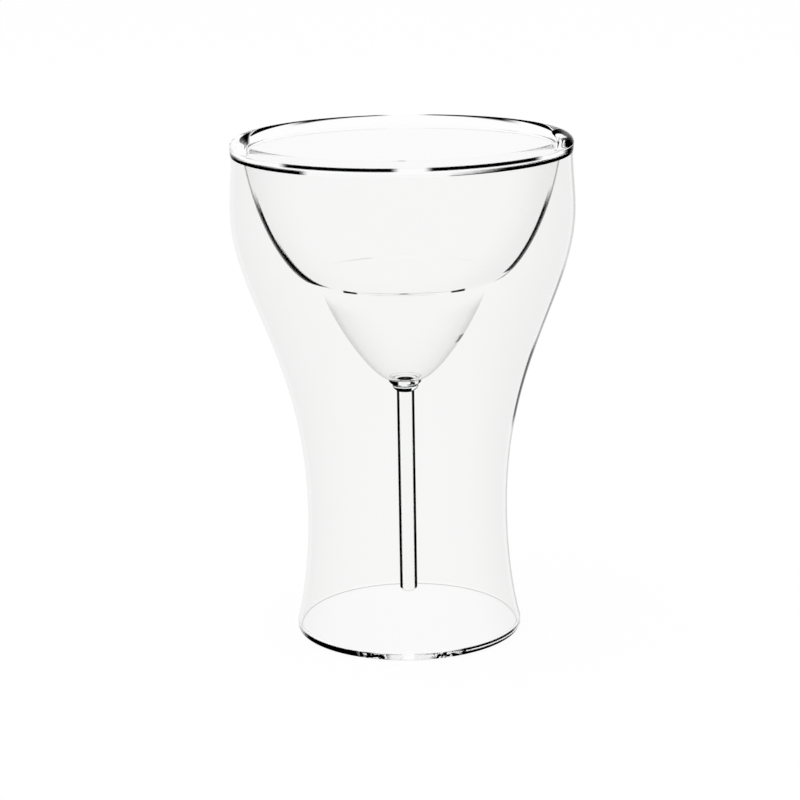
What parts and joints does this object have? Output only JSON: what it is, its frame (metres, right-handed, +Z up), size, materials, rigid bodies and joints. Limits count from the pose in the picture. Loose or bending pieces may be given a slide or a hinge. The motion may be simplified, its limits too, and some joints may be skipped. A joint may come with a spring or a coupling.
{
  "type": "double-walled margarita glass",
  "caption": "Clear double-walled cocktail glass: a stepped margarita bowl on a rod stem hangs by its fused rim inside a waisted outer wall with a flat base.",
  "frame": {"origin": "centre of the flat underside, on the table", "axes": "+Z up along the axis that the glass is round about; X and Y are free, and the picture looks along +Y"},
  "size_m": [0.101, 0.101, 0.149],
  "materials": {
    "wall_glass": "clear, fire-polished, with the slight waviness of drawn tube",
    "bowl_glass": "clear, blown, fire-polished",
    "rim_glass": "clear, melted round in the flame",
    "stem_glass": "clear solid rod, fire-polished at its free end",
    "base_glass": "clear, pressed flat, with a melted heel"
  },
  "bodies": {
    "root": {"base_disc": "base_glass", "base_seal": "base_glass", "outer_wall": "wall_glass", "inner_bowl": "bowl_glass", "rim_bead": "rim_glass", "stem_bead": "stem_glass", "stem_rod": "stem_glass"}
  },
  "joints": []
}
